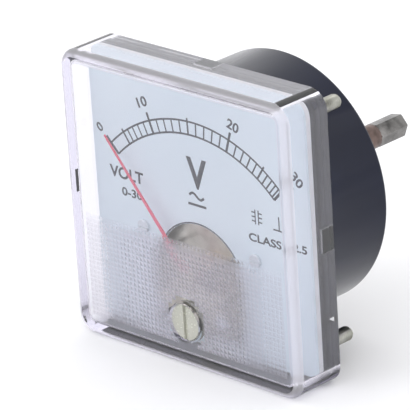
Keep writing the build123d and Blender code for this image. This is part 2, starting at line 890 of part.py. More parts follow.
with BuildPart() as pointer_hub:
    with BuildSketch(on_pivot(hub_back)):
        Circle(hub_r)
    extrude(amount=hub_back - pointer_back)
    with BuildSketch(on_pivot(arm_back, rest_angle)):
        with Locations((-tail_arm / 2, 0)):
            Rectangle(tail_arm, arm_w)
        Rectangle(arm_w, 2 * side_arm)
    extrude(amount=arm_back - arm_front)
    with BuildSketch(on_pivot(hub_back)):
        Circle(spindle_r)
    extrude(amount=hub_back - pointer_back, mode=Mode.SUBTRACT)

arm_middle = (arm_front + arm_back) / 2
tail_weight_length = 3.7
tail_weight_middle = 5.03
side_weight_length = 1.2
side_weight_middle = 5.2


def weight_sleeve(length):
    """Square-bored balance sleeve along local x, centred."""
    with BuildPart() as sleeve:
        with BuildSketch(Plane.YZ.offset(-length / 2)):
            Circle(weight_r)
            Rectangle(arm_w, arm_w, mode=Mode.SUBTRACT)
        extrude(amount=length)
    return sleeve.part


with BuildPart() as balance_weights:
    with Locations(on_pivot(arm_middle, rest_angle + 180)):
        with Locations((tail_weight_middle, 0, 0)):
            add(weight_sleeve(tail_weight_length))
    for side in (-90, 90):
        with Locations(on_pivot(arm_middle, rest_angle + side)):
            with Locations((side_weight_middle, 0, 0)):
                add(weight_sleeve(side_weight_length))

collet_front = -4.6
collet_back = -3.4
collet_r = 1.3

with BuildPart() as spring_collet:
    with BuildSketch(on_pivot(collet_back)):
        Circle(collet_r)
        Circle(spindle_r, mode=Mode.SUBTRACT)
    extrude(amount=collet_back - collet_front)

spring_turns = 4
spring_r_in = collet_r + 0.09
spring_r_out = 5.0
spring_t = 0.12
spring_front = -4.35
spring_back = -3.9
points_per_turn = 12


def spiral_edge(offset_r):
    """Points of the spiral, offset by a radial distance, ending at the lever's tab angle."""
    last = spring_turns * points_per_turn
    points = []
    for step in range(last + 1):
        radius = spring_r_in + (spring_r_out - spring_r_in) * step / last + offset_r
        turn = radians(90 - tab_angle + 360 * (step - last) / points_per_turn)
        points.append((radius * cos(turn), radius * sin(turn)))
    return points


with BuildPart() as hairspring:
    with BuildSketch(on_pivot(spring_back)):
        with BuildLine():
            inner_edge = Spline(*spiral_edge(-spring_t / 2))
            outer_edge = Spline(*spiral_edge(spring_t / 2))
            Line(inner_edge @ 0, outer_edge @ 0)
            Line(inner_edge @ 1, outer_edge @ 1)
        make_face()
    extrude(amount=spring_back - spring_front)
    with BuildSketch(on_pivot(spring_back, tab_angle)):
        with Locations(((spring_r_out + tab_r - tab_t / 2) / 2, 0)):
            Rectangle(tab_r - tab_t / 2 - spring_r_out, 2 * spring_t)
    extrude(amount=spring_back - spring_front)

moving_iron_r = 3.6
moving_iron_middle = rest_angle
moving_iron_span = 60.0
moving_iron_front = 1.0
moving_iron_back = 10.0
moving_iron_t = 0.35
iron_web_span = 12.0
vane_bush_r = 1.2

with BuildPart() as moving_iron:
    with BuildSketch(on_pivot(moving_iron_back)):
        add(ring_sector(moving_iron_r - moving_iron_t, moving_iron_r, moving_iron_middle, moving_iron_span))
        add(ring_sector(vane_bush_r, moving_iron_r, moving_iron_middle, iron_web_span))
    extrude(amount=moving_iron_back - moving_iron_front)

with BuildPart() as iron_bush:
    with BuildSketch(on_pivot(moving_iron_back)):
        Circle(vane_bush_r)
        Circle(spindle_r, mode=Mode.SUBTRACT)
    extrude(amount=moving_iron_back - moving_iron_front)

vane_r = 8.8
vane_middle = rest_angle + 180
vane_span = 128.0
vane_window_in = 3.0
vane_window_out = 4.6
vane_window_span = 98.0
vane_bush_back = 14.4
vane_bush_front = 12.9

with BuildPart() as damping_vane:
    with BuildSketch(on_pivot(vane_back)):
        add(ring_sector(vane_bush_r, vane_r, vane_middle, vane_span))
        add(ring_sector(vane_window_in, vane_window_out, vane_middle, vane_window_span), mode=Mode.SUBTRACT)
    extrude(amount=vane_back - vane_front)

with BuildPart() as vane_bush:
    with BuildSketch(on_pivot(vane_bush_back)):
        Circle(vane_bush_r)
        Circle(spindle_r, mode=Mode.SUBTRACT)
    extrude(amount=vane_bush_back - vane_bush_front)

# ================================================================ write every piece
pieces = {
    "front_cover": front_cover,
    "base_housing": base_housing,
    "cover_clips": cover_clips,
    "mounting_studs": mounting_studs,
    "dial_frame": dial_frame,
    "dial_plate": dial_plate,
    "dial_screws": dial_screws,
    "dial_posts": dial_posts,
    "movement_plate": movement_plate,
    "movement_screws": movement_screws,
    "front_bridge": front_bridge,
    "bridge_posts": bridge_posts,
    "bridge_screws": bridge_screws,
    "front_jewel_screw": front_jewel_screw,
    "rear_jewel_screw": rear_jewel_screw,
    "pivot_jewels": pivot_jewels,
    "coil_bobbin": coil_bobbin,
    "coil_pins": coil_pins,
    "coil_winding": coil_winding,
    "fixed_iron": fixed_iron,
    "frame_posts": frame_posts,
    "rear_bridge": rear_bridge,
    "rear_bridge_screws": rear_bridge_screws,
    "magnet_yoke": magnet_yoke,
    "damping_magnets": damping_magnets,
    "pointer_stops": pointer_stops,
    "terminal_studs": terminal_studs,
    "insulating_bushes": insulating_bushes,
    "terminal_collars": terminal_collars,
    "terminal_posts": terminal_posts,
    "solder_lugs": solder_lugs,
    "inner_nuts": inner_nuts,
    "series_resistor": series_resistor,
    "left_lead": left_lead,
    "right_lead": right_lead,
    "resistor_lead": resistor_lead,
    "zero_lever": zero_lever,
    "zero_adjuster": zero_adjuster,
    "adjuster_clip": adjuster_clip,
    "spindle": spindle,
    "pointer": pointer,
    "pointer_hub": pointer_hub,
    "balance_weights": balance_weights,
    "spring_collet": spring_collet,
    "hairspring": hairspring,
    "moving_iron": moving_iron,
    "iron_bush": iron_bush,
    "damping_vane": damping_vane,
    "vane_bush": vane_bush,
}

for name, piece in pieces.items():
    piece.part.label = name
    export_step(piece.part, f"parts/{name}.step")
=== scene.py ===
"""Square panel voltmeter: its finishes, printed dial, prismatic cover, lights and camera."""

import json
import math

import bmesh
import bpy
from mathutils import Matrix, Vector


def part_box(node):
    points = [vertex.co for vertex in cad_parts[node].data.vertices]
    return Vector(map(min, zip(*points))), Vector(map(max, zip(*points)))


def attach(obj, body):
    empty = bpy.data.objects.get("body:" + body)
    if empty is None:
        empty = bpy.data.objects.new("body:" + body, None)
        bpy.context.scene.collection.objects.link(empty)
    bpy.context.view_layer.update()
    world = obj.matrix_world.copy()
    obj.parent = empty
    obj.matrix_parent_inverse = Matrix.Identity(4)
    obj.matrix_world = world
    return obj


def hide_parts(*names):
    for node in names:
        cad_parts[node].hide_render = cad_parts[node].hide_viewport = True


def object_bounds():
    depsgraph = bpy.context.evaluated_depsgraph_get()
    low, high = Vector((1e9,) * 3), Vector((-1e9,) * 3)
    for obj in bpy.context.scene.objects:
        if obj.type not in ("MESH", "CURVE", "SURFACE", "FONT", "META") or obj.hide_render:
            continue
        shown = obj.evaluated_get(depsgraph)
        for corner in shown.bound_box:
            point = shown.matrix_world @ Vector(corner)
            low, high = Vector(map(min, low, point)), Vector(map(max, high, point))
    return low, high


MM = 0.001
WAVE_SCALE = 0.314  # pitch, in metres, of a wave texture of scale 1
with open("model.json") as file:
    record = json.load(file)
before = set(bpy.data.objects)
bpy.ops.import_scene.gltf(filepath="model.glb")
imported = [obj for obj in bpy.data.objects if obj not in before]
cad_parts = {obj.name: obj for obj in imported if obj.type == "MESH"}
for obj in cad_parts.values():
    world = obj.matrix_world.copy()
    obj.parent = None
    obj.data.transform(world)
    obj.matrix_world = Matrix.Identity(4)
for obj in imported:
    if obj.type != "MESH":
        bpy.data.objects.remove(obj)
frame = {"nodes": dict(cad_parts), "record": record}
cad_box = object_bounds()
nodes = frame["nodes"]
scene = bpy.context.scene


# ---------------------------------------------------------------- node materials
def start(name):
    """A new material, its node tree and its shader."""
    material = bpy.data.materials.new(name)
    material.use_nodes = True
    tree = material.node_tree
    return material, tree, tree.nodes["Principled BSDF"]


def place(tree, stretch=(1, 1, 1)):
    """Object coordinates, stretched along the axes."""
    coordinates = tree.nodes.new("ShaderNodeTexCoord")
    mapping = tree.nodes.new("ShaderNodeMapping")
    mapping.inputs["Scale"].default_value = stretch
    tree.links.new(coordinates.outputs["Object"], mapping.inputs["Vector"])
    return mapping.outputs["Vector"]


def noise(tree, vector, size_mm, detail=4.0, roughness=0.5):
    """Cloudy 0 to 1 factor with features of about the given size."""
    texture = tree.nodes.new("ShaderNodeTexNoise")
    texture.inputs["Scale"].default_value = 1 / (size_mm * MM)
    texture.inputs["Detail"].default_value = detail
    texture.inputs["Roughness"].default_value = roughness
    tree.links.new(vector, texture.inputs["Vector"])
    return texture.outputs["Fac"]


def bands(tree, vector, pitch_mm, distortion=0.0):
    """Stripes across the Y axis, such as tool marks or turns of wire."""
    texture = tree.nodes.new("ShaderNodeTexWave")
    texture.bands_direction = "Y"
    texture.inputs["Scale"].default_value = WAVE_SCALE / (pitch_mm * MM)
    texture.inputs["Distortion"].default_value = distortion
    tree.links.new(vector, texture.inputs["Vector"])
    return texture.outputs["Fac"]


def ramp(tree, factor, stops):
    """Colours along a 0 to 1 factor, from (position, colour) stops."""
    node = tree.nodes.new("ShaderNodeValToRGB")
    elements = node.color_ramp.elements
    while len(elements) < len(stops):
        elements.new(0.5)
    for element, (position, color) in zip(elements, stops):
        element.position = position
        element.color = (*color, 1)
    tree.links.new(factor, node.inputs["Fac"])
    return node.outputs["Color"]


def spread(tree, factor, low, high):
    """Maps a 0 to 1 factor to a range of numbers."""
    node = tree.nodes.new("ShaderNodeMapRange")
    node.inputs["To Min"].default_value = low
    node.inputs["To Max"].default_value = high
    tree.links.new(factor, node.inputs["Value"])
    return node.outputs["Result"]


def bump(tree, shader, height, depth_mm, strength=1.0, under=None):
    """Fine relief, laid over another relief where one is given."""
    node = tree.nodes.new("ShaderNodeBump")
    node.inputs["Strength"].default_value = strength
    node.inputs["Distance"].default_value = depth_mm * MM
    tree.links.new(height, node.inputs["Height"])
    if under is not None:
        tree.links.new(under, node.inputs["Normal"])
    tree.links.new(node.outputs["Normal"], shader.inputs["Normal"])
    return node.outputs["Normal"]


def surface(name, dark, light, rough, grain_mm=0.4, relief_mm=0.004, metal=0.0, coat=0.0, stretch=(1, 1, 1)):
    """Moulded, painted or metal surface: colour drift, uneven gloss and a fine grain."""
    material, tree, shader = start(name)
    wide = noise(tree, place(tree), grain_mm * 12, 3)
    fine = noise(tree, place(tree, stretch), grain_mm, 5, 0.6)
    tree.links.new(ramp(tree, wide, [(0.3, dark), (0.7, light)]), shader.inputs["Base Color"])
    tree.links.new(spread(tree, fine, rough[0], rough[1]), shader.inputs["Roughness"])
    bump(tree, shader, fine, relief_mm)
    shader.inputs["Metallic"].default_value = metal
    shader.inputs["Coat Weight"].default_value = coat
    return material, tree, shader


def let_shadows_pass(material, tree, shader, tint):
    """Light reaches what lies behind the clear plastic."""
    path = tree.nodes.new("ShaderNodeLightPath")
    clear = tree.nodes.new("ShaderNodeBsdfTransparent")
    clear.inputs["Color"].default_value = (*tint, 1)
    mix = tree.nodes.new("ShaderNodeMixShader")
    tree.links.new(path.outputs["Is Shadow Ray"], mix.inputs["Fac"])
    tree.links.new(shader.outputs["BSDF"], mix.inputs[1])
    tree.links.new(clear.outputs["BSDF"], mix.inputs[2])
    tree.links.new(mix.outputs["Shader"], tree.nodes["Material Output"].inputs["Surface"])
    return material


def tint_by_depth(tree, color, density):
    """Plastic that colours light by the length of its path inside."""
    absorb = tree.nodes.new("ShaderNodeVolumeAbsorption")
    absorb.inputs["Color"].default_value = (*color, 1)
    absorb.inputs["Density"].default_value = density
    tree.links.new(absorb.outputs["Volume"], tree.nodes["Material Output"].inputs["Volume"])


def add_frost(tree, shader, color, gloss, clarity):
    """Makes the faces with some "frost" duller, hazier and more violet, and gives their colour and gloss."""
    frost = tree.nodes.new("ShaderNodeAttribute")
    frost.attribute_name = "frost"
    total = tree.nodes.new("ShaderNodeMath")
    tree.links.new(gloss, total.inputs[0])
    tree.links.new(frost.outputs["Fac"], total.inputs[1])
    haze = spread(tree, frost.outputs["Fac"], clarity, clarity - frost_haze)
    tree.links.new(haze, shader.inputs["Transmission Weight"])
    violet = tree.nodes.new("ShaderNodeMixRGB")
    violet.inputs["Color2"].default_value = frost_color
    tree.links.new(frost.outputs["Fac"], violet.inputs["Fac"])
    tree.links.new(color, violet.inputs["Color1"])
    return violet.outputs["Color"], total.outputs["Value"]


def clear_plastic(name, dark, light, rough, ior, relief_mm, clarity=1.0, depth_tint=None, frosted=False):
    """Clear moulding with faint flow lines, coloured by depth and frosted where asked."""
    material, tree, shader = start(name)
    wide = noise(tree, place(tree), 9, 2)
    flow = noise(tree, place(tree, (1, 1, 0.35)), 5, 2)
    fine = noise(tree, place(tree), 0.5, 4)
    color = ramp(tree, wide, [(0.3, dark), (0.7, light)])
    gloss = spread(tree, fine, rough[0], rough[1])
    if frosted:
        color, gloss = add_frost(tree, shader, color, gloss, clarity)
    tree.links.new(color, shader.inputs["Base Color"])
    tree.links.new(gloss, shader.inputs["Roughness"])
    bump(tree, shader, flow, relief_mm)
    shader.inputs["Transmission Weight"].default_value = clarity
    shader.inputs["IOR"].default_value = ior
    if depth_tint:
        tint_by_depth(tree, *depth_tint)
    return let_shadows_pass(material, tree, shader, light)


def turned_metal(name, dark, light, rough, pitch_mm):
    """Lathe-turned metal: fine rings about the Y axis over a drift of colour."""
    material, tree, shader = surface(name, dark, light, rough, grain_mm=0.25, relief_mm=0.002, metal=1.0)
    rings = bands(tree, place(tree), pitch_mm)
    bump(tree, shader, rings, 0.006, 0.6)
    return material


def wound_wire(name, dark, light, pitch_mm):
    material, tree, shader = surface(name, dark, light, (0.22, 0.4), metal=1.0)
    turns = bands(tree, place(tree), pitch_mm, distortion=0.4)
    # Each turn is painted darker where the wave is low: painted shade in the grooves between the turns, laid
    # over their bumps.
    tree.links.new(ramp(tree, turns, [(0.1, dark), (0.6, light)]), shader.inputs["Base Color"])
    bump(tree, shader, turns, 0.05)
    return material


def black_moulding():
    """Glossy black moulding: bluish drift, faint flow waves and dust-fine speckle."""
    material, tree, shader = start("black_moulding")
    wide = noise(tree, place(tree), 14, 3)
    waves = noise(tree, place(tree, (1, 0.3, 1)), 6, 2)
    specks = noise(tree, place(tree), 0.12, 2, 0.8)
    color = ramp(tree, wide, [(0.3, (0.002, 0.003, 0.011)), (0.75, (0.004, 0.006, 0.019))])
    tree.links.new(color, shader.inputs["Base Color"])
    tree.links.new(spread(tree, specks, 0.12, 0.22), shader.inputs["Roughness"])
    under = bump(tree, shader, waves, 0.02)
    bump(tree, shader, specks, 0.0015, 1.0, under)
    shader.inputs["Specular IOR Level"].default_value = 0.24
    shader.inputs["Specular Tint"].default_value = (0.78, 0.82, 1.0, 1)
    return material


def dial_paint():
    """Matt enamel on sheet metal: light blue-white with a powdery grain."""
    material, tree, shader = start("dial_paint")
    wide = noise(tree, place(tree), 18, 3)
    grain = noise(tree, place(tree), 0.18, 5, 0.7)
    color = ramp(tree, wide, [(0.25, (0.79, 0.90, 0.965)), (0.8, (0.84, 0.935, 0.985))])
    tree.links.new(color, shader.inputs["Base Color"])
    tree.links.new(spread(tree, grain, 0.42, 0.62), shader.inputs["Roughness"])
    bump(tree, shader, grain, 0.006)
    return material


plastic_depth = ((0.50, 0.44, 0.74), 38.0)
frost_haze = 0.8
frost_color = (0.93, 0.88, 1.0, 1)
finishes = {
    "clear_cover": clear_plastic(
        "clear_cover",
        (0.985, 0.985, 0.995),
        (0.995, 0.995, 1.0),
        (0.0, 0.01),
        1.59,
        0.003,
        depth_tint=plastic_depth,
        frosted=True,
    ),
    "clear_screw": clear_plastic(
        "clear_screw", (0.78, 0.79, 0.70), (0.90, 0.90, 0.82), (0.15, 0.35), 1.5, 0.03, 0.5
    ),
    "black_moulding": black_moulding(),
    "white_moulding": surface("white_moulding", (0.80, 0.82, 0.83), (0.88, 0.89, 0.90), (0.35, 0.5), 0.3)[0],
    "dial_paint": dial_paint(),
    "zinc_stud": surface(
        "zinc_stud", (0.20, 0.20, 0.165), (0.50, 0.50, 0.455), (0.2, 0.42), 0.25, 0.01, 1.0
    )[0],
    "nickel_screw": surface(
        "nickel_screw", (0.66, 0.70, 0.74), (0.80, 0.84, 0.87), (0.3, 0.45), 0.2, 0.004, 0.6
    )[0],
    # The terminal posts' nickel is painted far darker than nickel, drifting from near-black to grey: painted
    # reflection of dark surroundings on their facets. The lengthwise stretch only streaks their gloss and
    # relief.
    "nickel": surface(
        "nickel",
        (0.035, 0.035, 0.033),
        (0.31, 0.30, 0.29),
        (0.15, 0.35),
        0.35,
        0.012,
        1.0,
        stretch=(1, 0.07, 1),
    )[0],
    "brass": turned_metal("brass", (0.52, 0.49, 0.40), (0.76, 0.73, 0.62), (0.25, 0.42), 0.35),
    "aged_brass": turned_metal("aged_brass", (0.06, 0.045, 0.04), (0.26, 0.19, 0.17), (0.3, 0.5), 0.3),
    "jewel": clear_plastic("jewel", (0.55, 0.03, 0.08), (0.75, 0.08, 0.14), (0.0, 0.05), 1.76, 0.002),
    "bobbin_nylon": surface("bobbin_nylon", (0.70, 0.67, 0.58), (0.82, 0.80, 0.72), (0.4, 0.55), 0.3)[0],
    "copper_winding": wound_wire("copper_winding", (0.20, 0.06, 0.02), (0.72, 0.32, 0.14), 0.14),
    "soft_iron": surface(
        "soft_iron",
        (0.26, 0.26, 0.27),
        (0.44, 0.44, 0.45),
        (0.3, 0.5),
        0.3,
        0.006,
        1.0,
        stretch=(0.1, 1, 1),
    )[0],
    "magnet": surface("magnet", (0.10, 0.10, 0.11), (0.20, 0.20, 0.21), (0.45, 0.7), 0.15, 0.01, 0.6)[0],
    "resistor_body": surface("resistor_body", (0.45, 0.32, 0.17), (0.58, 0.45, 0.28), (0.3, 0.45), 0.3)[0],
    "lead_insulation": surface(
        "lead_insulation", (0.50, 0.02, 0.02), (0.62, 0.05, 0.04), (0.3, 0.45), 0.3
    )[0],
    "steel": turned_metal("steel", (0.45, 0.45, 0.47), (0.66, 0.66, 0.68), (0.12, 0.25), 0.2),
    "pointer_red": surface(
        "pointer_red", (0.84, 0.07, 0.15), (0.90, 0.12, 0.22), (0.28, 0.42), 0.3, 0.003, coat=0.3
    )[0],
    "light_alloy": surface(
        "light_alloy",
        (0.62, 0.62, 0.63),
        (0.80, 0.80, 0.81),
        (0.25, 0.42),
        0.25,
        0.006,
        1.0,
        stretch=(1, 0.2, 1),
    )[0],
    "spring_bronze": surface(
        "spring_bronze",
        (0.50, 0.30, 0.13),
        (0.72, 0.48, 0.24),
        (0.18, 0.3),
        0.2,
        0.003,
        1.0,
        stretch=(1, 0.2, 1),
    )[0],
}
ink = surface("dial_ink", (0.012, 0.017, 0.034), (0.022, 0.030, 0.052), (0.5, 0.7), 0.1, 0.003)[0]
floor_white = surface("floor_white", (0.93, 0.93, 0.935), (0.95, 0.95, 0.955), (0.55, 0.7), 4.0, 0.01)[0]


# ---------------------------------------------------------------- meshes
def smooth_by_angle(bm, degrees):
    """Smooth faces, with the sharp edges kept sharp."""
    for face in bm.faces:
        face.smooth = True
    for edge in bm.edges:
        flat = len(edge.link_faces) == 2 and edge.calc_face_angle(0.0) < math.radians(degrees)
        edge.smooth = flat


def add_piece(name, bm, finish):
    """A piece of the case from a mesh that is then freed."""
    mesh = bpy.data.meshes.new(name)
    bm.to_mesh(mesh)
    bm.free()
    piece = bpy.data.objects.new(name, mesh)
    scene.collection.objects.link(piece)
    mesh.materials.append(finish)
    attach(piece, "case")
    return piece


def welded(node):
    """The node's mesh as one closed skin."""
    bm = bmesh.new()
    bm.from_mesh(nodes[node].data)
    bmesh.ops.remove_doubles(bm, verts=bm.verts, dist=1e-7)
    bmesh.ops.recalc_face_normals(bm, faces=bm.faces)
    return bm


slot_of = {part["node"]: part["material_slot"] for part in frame["record"]["subparts"]}
for node_name, node in nodes.items():
    node.data.materials.clear()
    node.data.materials.append(finishes[slot_of[node_name]])

# ---------------------------------------------------------------- clear cover with its prismatic field
cover_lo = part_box("front_cover")[0]
adjuster_lo, adjuster_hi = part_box("zero_adjuster")
adjuster_at = ((adjuster_lo.x + adjuster_hi.x) / 2, (adjuster_lo.z + adjuster_hi.z) / 2)
window_t = 1.8 * MM  # thickness of the CAD cover's window
window_inner_y = cover_lo.y + window_t
prism_pitch_x = 1.03 * MM
prism_pitch_z = 1.0 * MM
prism_fill = 0.496  # half of a dimple's width, as a share of the pitch
prism_depth = 0.16 * MM
prism_least_depth = 0.02 * MM
cutter_overshoot = 0.002 * MM
prism_top_z = -3.9 * MM
prism_bottom_z = -26.8 * MM
prism_half_w = 26.7 * MM
top_fade = 4.0 * MM
frost_fade = 2.0 * MM
boss_clear_r = 5.0 * MM
dimple_frost = 0.48
side_fade_start = 10 * MM
side_fade = 12 * MM
edge_frost = 0.3
frosted_rim = 1.0 * MM
cover_smooth_angle = 32


def top_share(z, fade, least):
    """How strong the dimples are at a height: least in the top row, full below the fade."""
    return min(1.0, least + (1 - least) * (prism_top_z - z) / fade)


def side_share(x):
    """How strong the dimples are across the window: full in the middle, faint at the sides."""
    return 1 - 0.75 * min(1.0, max(0.0, (abs(x) - side_fade_start) / side_fade))


def prism_cutter():
    """One small pyramid for each dimple that the mould leaves in the window's inner face."""
    bm = bmesh.new()
    columns = int(2 * prism_half_w / prism_pitch_x)
    rows = int((prism_top_z - prism_bottom_z) / prism_pitch_z)
    for column in range(columns):
        for row in range(rows):
            x = (column - (columns - 1) / 2) * prism_pitch_x
            z = prism_top_z - (row + 0.5) * prism_pitch_z
            if math.hypot(x - adjuster_at[0], z - adjuster_at[1]) < boss_clear_r:
                continue
            half_x = prism_fill * prism_pitch_x
            half_z = prism_fill * prism_pitch_z
            base_y = window_inner_y + cutter_overshoot
            corners = [(-1, -1), (1, -1), (1, 1), (-1, 1)]
            ring = [bm.verts.new((x + i * half_x, base_y, z + k * half_z)) for i, k in corners]
            share = top_share(z, top_fade, 0.25) * side_share(x)
            depth = max(prism_least_depth, prism_depth * share)
            apex = bm.verts.new((x, window_inner_y - depth, z))
            bm.faces.new(ring)
            for first, second in zip(ring, ring[1:] + ring[:1]):
                bm.faces.new((second, first, apex))
    bmesh.ops.recalc_face_normals(bm, faces=bm.faces)
    mesh = bpy.data.meshes.new("prism_cutter")
    bm.to_mesh(mesh)
    bm.free()
    cutter = bpy.data.objects.new("prism_cutter", mesh)
    scene.collection.objects.link(cutter)
    return cutter


def frost_faces(bm):
    """Frosts the dimples, which stay faceted, and the rounded edges around the window."""
    frost = bm.faces.layers.float.new("frost")
    dimple_front = window_inner_y - prism_depth
    dimple_back = window_inner_y - cutter_overshoot
    for face in bm.faces:
        middle = face.calc_center_median()
        facing = abs(face.normal.y)  # 1 on faces parallel to the window, 0 on its side walls
        if dimple_front < middle.y < dimple_back and 0.6 < facing < 0.9999:
            share = top_share(middle.z, frost_fade, 0.3) * (0.35 + 0.65 * side_share(middle.x))
            face[frost] = dimple_frost * share
            face.smooth = False
            for edge in face.edges:
                edge.smooth = False
        elif 0.05 < facing < 0.99 and middle.y < window_inner_y + frosted_rim:
            face[frost] = edge_frost


def build_cover():
    """The CAD cover with the dimples cut into the inner face of its window."""
    mesh = bpy.data.meshes.new("cover_skin")
    skin = welded("front_cover")
    skin.to_mesh(mesh)
    skin.free()
    cover = bpy.data.objects.new("cover_skin", mesh)
    scene.collection.objects.link(cover)
    cutter = prism_cutter()
    cut = cover.modifiers.new("prisms", "BOOLEAN")
    cut.object = cutter
    cut.operation = "DIFFERENCE"
    cut.solver = "EXACT"
    depsgraph = bpy.context.evaluated_depsgraph_get()
    bm = bmesh.new()
    bm.from_object(cover, depsgraph)
    bpy.data.objects.remove(cutter)
    bpy.data.objects.remove(cover)
    bmesh.ops.remove_doubles(bm, verts=bm.verts, dist=1e-7)
    smooth_by_angle(bm, cover_smooth_angle)
    frost_faces(bm)
    piece = add_piece("prismatic_cover", bm, finishes["clear_cover"])
    weights = piece.modifiers.new("face_weights", "WEIGHTED_NORMAL")
    weights.mode = "FACE_AREA"
    weights.keep_sharp = True
    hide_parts("front_cover")


build_cover()

# ---------------------------------------------------------------- printed dial
dial_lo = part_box("dial_plate")[0]
pivot_z = (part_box("spindle")[0].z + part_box("spindle")[1].z) / 2
ink_t = 0.015 * MM
ink_gap = 0.002 * MM
full_scale = 30
scale_start = -44.0
scale_sweep = 88.0
arc_steps = 88
# radii and line widths from here on in millimetres
arc_outer = 32.6
arc_inner = 29.9
arc_width = 0.37
cutout_line_r = 11.6
tens_tick = (34.3, 0.56)
fives_tick = (33.3, 0.42)
ones_tick = (arc_outer, 0.34)
crowding = 0.63
lean = 1.055


def scale_angle(volts):
    """Dial angle of a reading: cramped near zero, widest in the middle."""
    share = (volts / full_scale) ** lean
    eased = share * share * (3 - 2 * share)
    return scale_start + scale_sweep * (crowding * eased + (1 - crowding) * share)


def on_dial(radius, angle):
    """Point of the dial's plane at a radius and a clockwise angle about the pivot."""
    turn = math.radians(angle)
    return Vector((radius * MM * math.sin(turn), 0, pivot_z + radius * MM * math.cos(turn)))


def thicken_ink(bm, faces):
    """Raises flat faces into a thin film towards the viewer."""
    made = bmesh.ops.extrude_face_region(bm, geom=faces)
    top = [v for v in made["geom"] if isinstance(v, bmesh.types.BMVert)]
    bmesh.ops.translate(bm, verts=top, vec=(0, -ink_t, 0))


def print_faces(name, outlines):
    """Outlines of points in the dial's plane, printed as a thin film of ink."""
    bm = bmesh.new()
    for outline in outlines:
        verts = [bm.verts.new((p.x, dial_lo.y - ink_gap, p.z)) for p in outline]
        face = bm.faces.new(verts)
        face.normal_update()
        if face.normal.y > 0:
            face.normal_flip()
        thicken_ink(bm, [face])
    bmesh.ops.recalc_face_normals(bm, faces=bm.faces)
    return add_piece(name, bm, ink)


def arc(radius, width, first, last, steps):
    """Band about the pivot from one angle to another, as short straight pieces."""
    strip = []
    for step in range(steps):
        a = first + (last - first) * step / steps
        b = first + (last - first) * (step + 1) / steps
        low, high = radius - width / 2, radius + width / 2
        strip.append([on_dial(low, a), on_dial(high, a), on_dial(high, b), on_dial(low, b)])
    return strip


def tick(low, high, width, angle):
    """Radial bar of one width."""
    turn = math.radians(angle)
    side = Vector((math.cos(turn), 0, -math.sin(turn))) * width * MM / 2
    a, b = on_dial(low, angle), on_dial(high, angle)
    return [a - side, b - side, b + side, a + side]


def bar(x0, z0, x1, z1, width):
    """Straight stroke between two points of the dial, in millimetres."""
    a, b = Vector((x0, 0, z0)) * MM, Vector((x1, 0, z1)) * MM
    run = (b - a).normalized()
    side = Vector((run.z, 0, -run.x)) * width * MM / 2
    return [a - side, b - side, b + side, a + side]


scale = []
for radius in (arc_outer, arc_inner):
    scale += arc(radius, arc_width, scale_start, scale_start + scale_sweep, arc_steps)
for volts in range(full_scale + 1):
    angle = scale_angle(volts)
    if volts % 10 == 0:
        scale.append(tick(arc_inner, *tens_tick, angle))
    elif volts % 5 == 0:
        scale.append(tick(arc_inner, *fives_tick, angle))
    elif volts > 5:
        scale.append(tick(arc_inner, *ones_tick, angle))
print_faces("dial_scale", scale)
print_faces("dial_cutout_line", arc(cutout_line_r, 0.28, -97, 97, 72))

# The stroke under the wave, the moving-iron sign (two bars with side strokes) and the upright-mounting sign.
iron_sign_x = 15.9
iron_bar_x = 0.42
iron_line = 0.26
upright_sign_x = 21.65
upright_line = 0.3
wave_line = 0.5
wave_left, wave_length = -1.9, 3.9
wave_z, wave_rise = 3.75, 0.55
wave_steps = 24
symbols = [bar(-2.3, 1.9, 2.5, 1.9, wave_line)]
for side in (-1, 1):
    iron_x = iron_sign_x + side * iron_bar_x
    symbols.append(bar(iron_x, 1.7, iron_x, 4.7, iron_line))
    for height in (2.3, 3.2, 4.1):
        symbols.append(bar(iron_sign_x + side * 0.5, height, iron_sign_x + side * 1.35, height, iron_line))
symbols.append(bar(20.1, 1.75, 23.2, 1.75, upright_line))
symbols.append(bar(upright_sign_x, 1.75, upright_sign_x, 4.6, upright_line))
print_faces("dial_symbols", symbols)


def on_wave(share):
    """Point of the alternating-current sign, one full wave from share 0 to 1."""
    return wave_left + wave_length * share, wave_z + wave_rise * math.sin(2 * math.pi * share)


wave = []
for step in range(wave_steps):
    wave.append(bar(*on_wave(step / wave_steps), *on_wave((step + 1) / wave_steps), wave_line))
print_faces("dial_wave", wave)
stroke_boost = 0.024  # thickens the typeface's strokes, as a share of the letter size


def print_text(name, words, width, height, x, z, turn=0.0):
    """Words fitted to a width and a height in millimetres, centred on (x, z) and turned clockwise."""
    curve = bpy.data.curves.new(name, "FONT")
    curve.body = words
    curve.resolution_u = 6
    curve.offset = stroke_boost
    text = bpy.data.objects.new(name, curve)
    scene.collection.objects.link(text)
    bpy.context.view_layer.update()
    mesh = bpy.data.meshes.new_from_object(text)
    bpy.data.objects.remove(text)
    bm = bmesh.new()
    bm.from_mesh(mesh)
    bmesh.ops.remove_doubles(bm, verts=bm.verts, dist=1e-5)
    xs = [v.co.x for v in bm.verts]
    ys = [v.co.y for v in bm.verts]
    middle = Vector(((min(xs) + max(xs)) / 2, (min(ys) + max(ys)) / 2, 0))
    scale_x = width * MM / (max(xs) - min(xs))
    scale_y = height * MM / (max(ys) - min(ys))
    spin = Matrix.Rotation(math.radians(turn), 4, "Y")
    for vert in bm.verts:
        flat = vert.co - middle
        turned = spin @ Vector((flat.x * scale_x, 0, flat.y * scale_y))
        vert.co = Vector((x * MM + turned.x, dial_lo.y - ink_gap, z * MM + turned.z))
    bmesh.ops.recalc_face_normals(bm, faces=bm.faces)
    for face in bm.faces:
        if face.normal.y > 0:
            face.normal_flip()
    thicken_ink(bm, bm.faces[:])
    bmesh.ops.recalc_face_normals(bm, faces=bm.faces)
    return add_piece(name, bm, ink)


